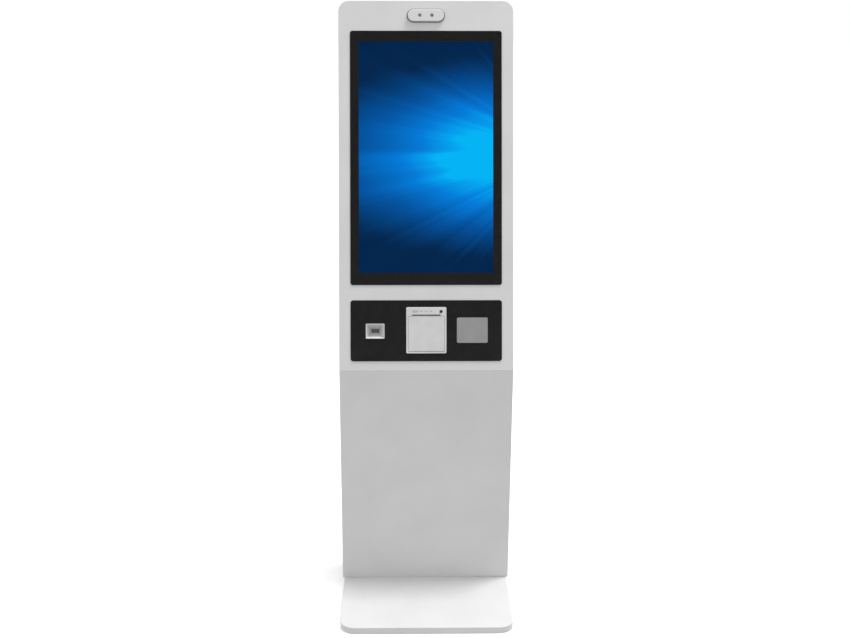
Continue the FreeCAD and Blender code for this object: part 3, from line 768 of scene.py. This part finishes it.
@dataclass
class Assembly:
    """A group of pieces that ride on one body; its methods dress and replace nodes."""

    frame: dict
    body: str = "cabinet"

    def head_frame(self) -> Matrix:
        """Place head coordinates: X across, Y up the face, Z out of it.

        Returns:
            The matrix from the head's frame to the world.
        """
        low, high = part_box("column_shell")
        crease = Vector((0, low[1], high[2]))
        return Matrix.Translation(crease) @ Matrix.Rotation(math.pi / 2 - LEAN, 4, "X")

    def head_points(self, node: str) -> list[Vector]:
        """The vertices of a node's mesh in the head's frame."""
        inverse = self.head_frame().inverted()
        return [inverse @ vertex.co for vertex in self.frame["nodes"][node].data.vertices]

    def extent(self, node: str) -> tuple[Vector, Vector]:
        """Measure a node in the head's frame.

        Args:
            node: The node's name.

        Returns:
            Its lowest and its highest corner.
        """
        points = self.head_points(node)
        return (Vector(min(point[axis] for point in points) for axis in range(3)),
                Vector(max(point[axis] for point in points) for axis in range(3)))

    def middle(self, node: str) -> Vector:
        """The middle of a node's box in the head's frame."""
        low, high = self.extent(node)
        return (low + high) / 2

    def island_centres(self, node: str) -> list[Vector]:
        """Find the centre of each small solid in a node, in the head's frame.

        Args:
            node: The node's name.

        Returns:
            The centres.
        """
        reach = 20 * MM
        clusters: list[list[Vector]] = []
        for point in self.head_points(node):
            near = next((group for group in clusters if (group[0] - point).length < reach), None)
            if near is None:
                clusters.append([point])
            else:
                near.append(point)
        return [Vector((min(point[axis] for point in group) + max(point[axis] for point in group)) / 2
                       for axis in range(3)) for group in clusters]

    def keep(self, piece: Piece, slot: Slot, replaced: Sequence[str] = (),
             body: str | None = None, on_head: bool = False) -> Piece:
        """Finish a piece.

        Args:
            piece: The modelled piece.
            slot: Its finish.
            replaced: The nodes that it stands for.
            body: The body that it rides on, if not the assembly's own.
            on_head: Whether it was drawn in the head's frame.

        Returns:
            The same piece, in place.
        """
        if on_head:
            piece.matrix_world = self.head_frame()
            settle(piece)
        piece.data.materials.clear()
        piece.data.materials.append(slot.material())
        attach(piece, body or self.body)
        if replaced:
            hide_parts(*replaced)
        LOG.info("%s rides on %s", piece.name, body or self.body)
        return piece

    def softened(self, node: str, width: float, body: str | None = None,
                 segments: int = 3) -> Piece:
        """Stand a copy of a node with rounded edges in its place.

        Args:
            node: The node to copy.
            width: The rounding in metres.
            body: The body that it rides on, if not the assembly's own.
            segments: The steps round each edge.

        Returns:
            The new piece.
        """
        source = self.frame["nodes"][node]
        piece = bpy.data.objects.new(f"{node}_finished", source.data.copy())
        bpy.context.scene.collection.objects.link(piece)

        def weld() -> None:
            """Close the facets' seams and join the facets that lie in one plane."""
            bpy.ops.mesh.select_all(action="SELECT")
            bpy.ops.mesh.remove_doubles(threshold=0.00001)
            bpy.ops.mesh.dissolve_limited(angle_limit=math.radians(1))

        edit(piece, weld)
        soften(piece, width, segments)
        slot = next(part["material_slot"] for part in self.frame["record"]["subparts"]
                    if part["node"] == node)
        return self.keep(piece, Slot[slot], (node,), body)


def dress_nodes(frame: dict) -> None:
    """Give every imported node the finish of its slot, in place of its plain packed colour.

    Args:
        frame: The loaded frame.
    """
    for slot in Slot:
        plain = bpy.data.materials.get(slot.name)
        if plain is not None:
            bpy.data.materials.remove(plain)
    for part in frame["record"]["subparts"]:
        node = frame["nodes"][part["node"]]
        node.data.materials.clear()
        node.data.materials.append(Slot[part["material_slot"]].material())
        LOG.info("%s is finished in %s", part["node"], part["material_slot"])


@dataclass
class Cabinet(Assembly):
    """Base plate, column, head shell and the fixed parts of the back."""

    screw_radius: float = 4.2 * MM
    screw_height: float = 2.2 * MM
    screw_dome: float = 0.7 * MM
    socket_radius: float = 1.5 * MM

    def build(self) -> None:
        """Round the folded sheet's edges and fit the screws."""
        self.softened("base_cover", 1.6 * MM, segments=4)
        for node in ("column_shell", "head_shell"):
            self.softened(node, 0.9 * MM)
        for node in ("kick_panel", "rear_crossbar", "upper_cover", "rear_frame", "column_foot"):
            self.softened(node, 0.5 * MM)
        for node in ("power_inlet", "equipment_shelf", "computer_case", "power_supply", "cable_grommet"):
            self.softened(node, 0.6 * MM)
        self.softened("hinge_frame_leaves", 0.3 * MM)
        self.screws()

    def screws(self) -> None:
        """Domed screws with a hexagon socket, one copied to every place on the cover."""
        outside = self.extent("cover_screws")[0].z
        places = sorted({(round(point.x, 3), round(point.y, 3)) for point in
                         self.island_centres("cover_screws")})
        dome = disc("cover_screw", (0, 0, outside + self.screw_height / 2), self.screw_radius,
                    self.screw_height)
        socket = disc("socket", (0, 0, outside), self.socket_radius, self.screw_height, sides=6)
        cut_away(dome, [socket])
        soften(dome, self.screw_dome, 4, 50)
        copies = [copy_at(dome, f"cover_screw_{index}", (x, y, 0))
                  for index, (x, y) in enumerate(places, start=1)]
        bpy.data.objects.remove(dome)
        screws = merge("cover_screws_finished", copies)
        self.keep(screws, Slot.hinge_steel, ("cover_screws",), on_head=True)


@dataclass
class RearDoor(Assembly):
    """The hinged door with its lock and its foam seal."""

    seal_width: float = 8 * MM
    seal_thickness: float = 1.6 * MM

    def build(self) -> None:
        """Round the tray's folds and the lock's rim, and lay the seal."""
        self.softened("rear_door", 0.7 * MM)
        self.softened("lock_body", 0.5 * MM)
        self.softened("hinge_door_leaves", 0.3 * MM)
        self.softened("lock_core", 0.4 * MM, "lock")
        self.softened("lock_cam", 0.4 * MM, "lock")
        self.seal()

    def seal(self) -> None:
        """A foam strip round the tray's inner edge."""
        low, high = (Vector(corner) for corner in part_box("rear_door"))
        strip = block("door_seal", (low.x, low.y - self.seal_thickness, low.z), (high.x, low.y, high.z))
        inner = block("seal_window",
                      (low.x + self.seal_width, low.y - THROUGH, low.z + self.seal_width),
                      (high.x - self.seal_width, low.y + THROUGH, high.z - self.seal_width))
        cut_away(strip, [inner])
        soften(strip, 0.6 * MM)
        self.keep(strip, Slot.foam_black)


@dataclass
class Fan(Assembly):
    """Cooling fan: frame, wire guard and a rotor with twisted blades."""

    wire: float = 0.8 * MM
    ring_reaches: tuple[float, ...] = (0.2, 0.38, 0.57, 0.76)
    eye_inset: float = 3 * MM
    eye_radius: float = 2.4 * MM
    hub_radius: float = 15 * MM
    hub_dome: float = 1.5 * MM
    bore_radius: float = 3.05 * MM
    blades: int = 7
    twist: float = math.radians(26)
    blade_root: float = 13 * MM
    blade_half_width: float = 7.5 * MM
    blade_half_thickness: float = 0.7 * MM

    def build(self) -> None:
        """Round the frame and model the guard and the rotor."""
        self.softened("fan_frame", 0.6 * MM)
        self.guard()
        self.rotor()

    def guard(self) -> None:
        """Four wire rings on two crossed wires with an eye at each end."""
        low, high = self.extent("fan_guard")
        centre, reach = (low + high) / 2, (high.x - low.x) / 2
        level = high.z - self.wire
        parts = [ring(f"guard_ring_{index}", (centre.x, centre.y, level), reach * part, self.wire)
                 for index, part in enumerate(self.ring_reaches)]
        for axis, shift in ((Axis.X, Vector((1, 0, 0))), (Axis.Y, Vector((0, 1, 0)))):
            parts.append(disc("guard_wire", (centre.x, centre.y, level - self.wire * 0.4), self.wire,
                              (reach - self.eye_inset) * 2, axis, 10))
            for side in (-1, 1):
                eye = centre + shift * (reach - self.eye_inset) * side
                parts.append(ring("guard_eye", (eye.x, eye.y, level), self.eye_radius, self.wire))
        guard = merge("fan_guard_finished", parts)
        select_only(guard)
        bpy.ops.object.shade_smooth_by_angle(angle=math.radians(40))
        self.keep(guard, Slot.lock_chrome, ("fan_guard",), on_head=True)

    def rotor(self) -> None:
        """A domed hub with blades, centred on the frame because seven blades make a lopsided box."""
        low, high = self.extent("fan_rotor")
        centre = self.middle("fan_frame")
        centre.z = (low.z + high.z) / 2
        hub = disc("rotor_hub", centre, self.hub_radius, high.z - low.z)
        cut_away(hub, [disc("rotor_bore", centre, self.bore_radius, THROUGH, sides=24)])
        soften(hub, self.hub_dome, 4)
        blades = [self.blade(index, centre, (high.y - low.y) / 2) for index in range(self.blades)]
        self.keep(merge("fan_rotor_finished", [hub, *blades]), Slot.dark_plastic, ("fan_rotor",),
                  "fan_rotor", on_head=True)

    def blade(self, index: int, centre: Vector, tip: float) -> Piece:
        """Model a blade that twists from root to tip.

        Args:
            index: Which blade it is, counted round the hub.
            centre: The rotor's centre.
            tip: From the centre to the blade's end.

        Returns:
            The blade, in place.
        """
        half = (self.blade_half_width, self.blade_half_thickness)
        blade = block(f"rotor_blade_{index}", (self.blade_root, -half[0], -half[1]), (tip, *half))
        subdivide(blade, 5)
        apply_modifier(blade, "SIMPLE_DEFORM", deform_method="TWIST", deform_axis="X", angle=self.twist)
        soften(blade, 0.3 * MM, 2, 60)
        turn = Matrix.Rotation(2 * math.pi * index / self.blades, 4, "Z")
        blade.matrix_world = Matrix.Translation(centre) @ turn @ Matrix.Rotation(self.twist, 4, "X")
        settle(blade)
        return blade


@dataclass
class Display(Assembly):
    """Black bezel and the lit picture behind the glass."""

    gap: float = 0.15 * MM
    edge: float = 1 * MM

    def build(self) -> None:
        """Round the bezel and light the screen."""
        self.softened("display_bezel", 0.5 * MM)
        self.picture()

    def picture(self) -> None:
        """A thin pane just in front of the screen panel."""
        low, high = self.extent("screen_panel")
        middle = (low + high) / 2
        bpy.ops.mesh.primitive_plane_add(size=1, location=(middle.x, middle.y, high.z + self.gap))
        bpy.context.object.scale = (high.x - low.x - 2 * self.edge, high.y - low.y - 2 * self.edge, 1)
        pane = take_new("screen_picture")
        subdivide(pane, 8)
        self.keep(pane, Slot.screen_face, on_head=True)
        pane.data.materials.clear()
        pane.data.materials.append(LitPicture("standby_picture").build())


@dataclass
class AccessoryPanel(Assembly):
    """Black panel with the scanner's funnel and the card reader."""

    def build(self) -> None:
        """Round the panel and its inserts."""
        self.softened("accessory_panel", 0.5 * MM)
        self.softened("scanner_hood", 0.6 * MM)
        self.softened("reader_pad", 0.6 * MM)


@dataclass
class Printer(Assembly):
    """Ticket printer: front with mouth, marks and button, and the hinged flap."""

    rim: float = 1.5 * MM
    seam: float = 0.7 * MM
    corner: float = 4 * MM
    behind: float = 3 * MM
    flap_foot: float = 1.2 * MM
    mouth_rise: float = 3.1 * MM
    mouth: Pair = (87 * MM, 5.8 * MM)
    strip: Triple = (62 * MM, 5.2 * MM, 0.7 * MM)
    lips_size: Triple = (90 * MM, 8.6 * MM, 5 * MM)
    lips_level: float = -4.6 * MM
    lips_gap: Pair = (82 * MM, 1.7 * MM)
    ticket_across: float = -32.5 * MM
    ticket_outside: Triple = (15 * MM, 5 * MM, 0.6 * MM)
    ticket_inside: Pair = (12.6 * MM, 2.8 * MM)
    dash: Pair = (22 * MM, 25 * MM)
    dash_half: Pair = (0.9 * MM, 0.3 * MM)
    lamps: tuple[float, ...] = (-15.3 * MM, -0.4 * MM, 14.3 * MM)
    lamp_size: Pair = (1.5 * MM, 1.0 * MM)
    button_hole: float = 4.7 * MM
    cap_radius: float = 4.2 * MM
    cap_narrowing: float = 0.78
    cap_turn: float = math.radians(32)
    collar: Triple = (5.1 * MM, 0.5 * MM, 1.9 * MM)

    def build(self) -> None:
        """Model the front, the mouth's lips, the marks and the moving pieces."""
        self.front()
        self.lips()
        self.marks()
        self.button()
        self.softened("printer_flap", 0.45 * MM, "printer_flap")
        for node in ("printer_body", "print_head"):
            self.softened(node, 0.5 * MM)

    def front(self) -> None:
        """A moulded frame with a generous outer radius, cut for everything that it holds."""
        low, high = self.extent("printer_front")
        flap_low, flap_high = self.extent("printer_flap")
        front = block("printer_front_finished", (low.x, low.y, -self.behind), high)
        round_uprights(front, self.corner)
        soften(front, self.rim, 5)
        lamps, button = self.middle("status_lamps"), self.middle("feed_button")
        cut_away(front, [
            block("flap_window", (flap_low.x - self.seam, flap_low.y - self.flap_foot, -THROUGH),
                  (flap_high.x + self.seam, flap_high.y + self.seam, THROUGH)),
            self.stadium("mouth", (0, flap_high.y + self.mouth_rise, 0), (*self.mouth, THROUGH)),
            self.stadium("lamp_strip", (lamps.x, lamps.y, high.z), self.strip),
            disc("button_hole", (button.x, button.y, 0), self.button_hole, THROUGH),
        ])
        soften(front, 0.25 * MM, 2, 50)
        self.keep(front, Slot.printer_plastic, ("printer_front",), on_head=True)

    def stadium(self, name: str, centre: Sequence[float], size: Triple) -> Piece:
        """Model a bar with half-round ends that lies in the face.

        Args:
            name: The bar's name.
            centre: Its middle.
            size: Its width, height and thickness.

        Returns:
            The bar.
        """
        centre, half = Vector(centre), Vector(size) / 2
        bar = block(name, centre - half, centre + half)
        round_uprights(bar, size[1] / 2 * 0.98, 12)
        return bar

    def lips(self) -> None:
        """Two smooth lips that lead the ticket out and leave a narrow gap."""
        centre = (0, self.extent("printer_flap")[1].y + self.mouth_rise, self.lips_level)
        lips = self.stadium("ticket_lips", centre, self.lips_size)
        cut_away(lips, [self.stadium("gap", centre, (*self.lips_gap, THROUGH))])
        soften(lips, 1.2 * MM, 4)
        self.keep(lips, Slot.printer_plastic, on_head=True)

    def marks(self) -> None:
        """A ticket-shaped outline, three lamps and a dash on the strip over the mouth."""
        level = self.middle("status_lamps").y
        top = self.extent("status_lamps")[1].z - 0.1 * MM
        place = (self.ticket_across, level, top)
        outline = self.stadium("ticket_mark", place, self.ticket_outside)
        cut_away(outline, [self.stadium("inside", place, (*self.ticket_inside, THROUGH))])
        (left, right), (up, out) = self.dash, self.dash_half
        marks = [outline, block("dash_mark", (left, level - up, top - out), (right, level + up, top + out))]
        for index, across in enumerate(self.lamps):
            lamp = disc(f"lamp_{index}", (across, level, top), *self.lamp_size, sides=24)
            soften(lamp, 0.35 * MM, 3)
            marks.append(lamp)
        self.keep(merge("status_marks", marks), Slot.lamp_plastic, ("status_lamps",), on_head=True)

    def button(self) -> None:
        """A domed oval button inside a pale ring."""
        low, high = self.extent("feed_button")
        place = (low + high) / 2
        bpy.ops.mesh.primitive_cylinder_add(vertices=48, radius=self.cap_radius, depth=high.z - low.z,
                                            location=place, rotation=(0, 0, self.cap_turn),
                                            scale=(1, self.cap_narrowing, 1))
        cap = take_new("feed_button_finished")
        soften(cap, 1.1 * MM, 5)
        self.keep(cap, Slot.dark_plastic, ("feed_button",), "feed_button", on_head=True)
        radius, wire, sunk = self.collar
        collar = ring("button_collar", (place.x, place.y, high.z - sunk), radius, wire)
        select_only(collar)
        bpy.ops.object.shade_smooth()
        self.keep(collar, Slot.printer_plastic, on_head=True)


@dataclass
class CameraPod(Assembly):
    """The camera's raised pod over the screen, on a thin dark ring round its foot."""

    # The thin dark ring round the pod's foot: its width and its height.
    seal_width: float = 2.4 * MM
    seal_height: float = 2 * MM
    rim: float = 2.6 * MM
    eye_radius: float = 5 * MM
    eye_depth: float = 3.2 * MM
    lens_radius: float = 4.9 * MM
    lens_height: float = 1.4 * MM
    lens_sunk: float = 1.1 * MM

    def build(self) -> None:
        """Model the housing, the thin dark ring that it sits on and the lenses."""
        low, high = self.extent("camera_pod")
        # A thin dark ring round the pod's foot, which outlines the pod in dark grey.
        seal = self.oval("camera_seal", low, Vector((high.x, high.y, low.z + self.seal_height)))
        soften(seal, 0.4 * MM)
        self.keep(seal, Slot.lens_seal, on_head=True)
        inset = Vector((self.seal_width, self.seal_width, 0))
        pod = self.oval("camera_pod_finished", low + inset, high - inset)
        soften(pod, self.rim, 6)
        eyes = self.island_centres("camera_lenses")
        cut_away(pod, [disc("eye", (eye.x, eye.y, high.z), self.eye_radius, self.eye_depth)
                       for eye in eyes])
        soften(pod, 0.3 * MM, 2, 60)
        self.keep(pod, Slot.painted_shell, ("camera_pod",), on_head=True)
        lenses = []
        for index, eye in enumerate(eyes):
            lens = disc(f"lens_{index}", (eye.x, eye.y, high.z - self.lens_sunk), self.lens_radius,
                        self.lens_height)
            soften(lens, 0.5 * MM, 3)
            lenses.append(lens)
        self.keep(merge("camera_windows", lenses), Slot.lamp_plastic, ("camera_lenses",), on_head=True)

    def oval(self, name: str, low: Vector, high: Vector) -> Piece:
        """Model a stadium-shaped bar.

        Args:
            name: The bar's name.
            low: Its lowest corner.
            high: Its highest corner.

        Returns:
            The bar.
        """
        bar = block(name, low, high)
        round_uprights(bar, (high.y - low.y) / 2 * 0.99, 24)
        return bar


@dataclass(frozen=True)
class Studio:
    """White room, soft light and the camera."""

    eye: Triple = (-0.072, -4.081, 2.0241)
    pitch: float = math.radians(15.81)
    yaw: float = math.radians(0.96)
    roll: float = math.radians(0.16)
    lens: float = 60.06
    sensor: float = 36.0
    surround: float = 1.07
    ground: float = 0.6
    horizon: float = 0.12
    front: Triple = (0, -0.96, 0.28)
    front_edge: Pair = (0.2, 0.85)
    front_light: Pair = (0.85, 0.03)
    floor_size: float = 40.0
    floor_lift: float = 0.13
    key_place: Triple = (2.1, 0.3, 7.8)
    key_aim: Triple = (0, 0, 0.6)
    key_size: float = 1.6
    key_power: float = 400.0

    def build(self) -> None:
        """Set up floor, light and camera."""
        scene = bpy.context.scene
        scene.view_settings.view_transform = "Standard"
        self.camera(scene)
        self.world(scene)
        self.floor()
        self.light()

    def camera(self, scene: bpy.types.Scene) -> None:
        """Look a little down at the machine's face.

        Args:
            scene: The scene that gets the camera.
        """
        data = bpy.data.cameras.new("view")
        data.lens, data.sensor_width = self.lens, self.sensor
        camera = bpy.data.objects.new("view", data)
        scene.collection.objects.link(camera)
        turn = (Matrix.Rotation(-self.yaw, 4, "Z") @ Matrix.Rotation(math.pi / 2 - self.pitch, 4, "X")
                @ Matrix.Rotation(self.roll, 4, "Z"))
        camera.matrix_world = Matrix.Translation(self.eye) @ turn
        scene.camera = camera

    def world(self, scene: bpy.types.Scene) -> None:
        """Surround the machine with white that is dark in front for reflections only.

        Args:
            scene: The scene that gets the surround.
        """
        world = bpy.data.worlds.new("surround")
        world.use_nodes = True
        nodes, links = world.node_tree.nodes, world.node_tree.links
        rays = nodes.new("ShaderNodeLightPath")
        place = nodes.new("ShaderNodeTexCoord").outputs["Generated"]
        towards = nodes.new("ShaderNodeVectorMath")
        towards.operation = "DOT_PRODUCT"
        towards.inputs[1].default_value = self.front
        links.new(place, towards.inputs[0])
        height = nodes.new("ShaderNodeSeparateXYZ")
        links.new(place, height.inputs[0])
        sky = self.spread(world, height.outputs["Z"], (-self.horizon, self.horizon),
                          (self.ground, self.surround))
        flag = self.spread(world, towards.outputs["Value"], self.front_edge, self.front_light)
        strength = nodes.new("ShaderNodeMix")
        seen = nodes.new("ShaderNodeMix")
        seen.inputs["B"].default_value = 1.0
        background = nodes["Background"]
        background.inputs["Color"].default_value = (1, 1, 1, 1)
        for source, target in ((rays.outputs["Is Glossy Ray"], strength.inputs["Factor"]),
                               (sky, strength.inputs["A"]), (flag, strength.inputs["B"]),
                               (rays.outputs["Is Camera Ray"], seen.inputs["Factor"]),
                               (strength.outputs[0], seen.inputs["A"]),
                               (seen.outputs[0], background.inputs["Strength"])):
            links.new(source, target)
        scene.world = world

    def spread(self, world: bpy.types.World, source: Socket, reach: Pair,
               result: Pair) -> Socket:
        """Spread a value of the surround between two others.

        Args:
            world: The surround.
            source: The value.
            reach: The values that give the two results.
            result: The two results.

        Returns:
            The spread value.
        """
        node = world.node_tree.nodes.new("ShaderNodeMapRange")
        for name, value in zip(("From Min", "From Max", "To Min", "To Max"), (*reach, *result)):
            node.inputs[name].default_value = value
        world.node_tree.links.new(source, node.inputs["Value"])
        return node.outputs[0]

    def floor(self) -> None:
        """A pale floor that gives off a little light and casts none back on the machine."""
        bpy.ops.mesh.primitive_plane_add(size=self.floor_size)
        floor = take_new("floor")
        paint = Moulding("floor_paint", (0.97, 0.97, 0.97), 0.8, 200.0).build()
        shader = next(node for node in paint.node_tree.nodes if node.type == "BSDF_PRINCIPLED")
        shader.inputs["Emission Color"].default_value = (1, 1, 1, 1)
        shader.inputs["Emission Strength"].default_value = self.floor_lift
        floor.data.materials.append(paint)
        floor.visible_diffuse = False

    def light(self) -> None:
        """A square soft light that faces the machine."""
        data = bpy.data.lights.new("key_light", "AREA")
        data.shape, data.size, data.energy = "SQUARE", self.key_size, self.key_power
        lamp = bpy.data.objects.new("key_light", data)
        bpy.context.scene.collection.objects.link(lamp)
        turn = (Vector(self.key_aim) - Vector(self.key_place)).to_track_quat("-Z", "Y")
        lamp.matrix_world = Matrix.Translation(self.key_place) @ turn.to_matrix().to_4x4()


def main() -> None:
    """Build the whole machine in order."""
    logging.basicConfig(level=logging.INFO, format="%(message)s")
    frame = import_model()
    Studio().build()
    dress_nodes(frame)
    for assembly in (Cabinet(frame), RearDoor(frame, "rear_door"), Fan(frame), Display(frame),
                     AccessoryPanel(frame), Printer(frame), CameraPod(frame)):
        assembly.build()


if __name__ == "__main__":
    main()
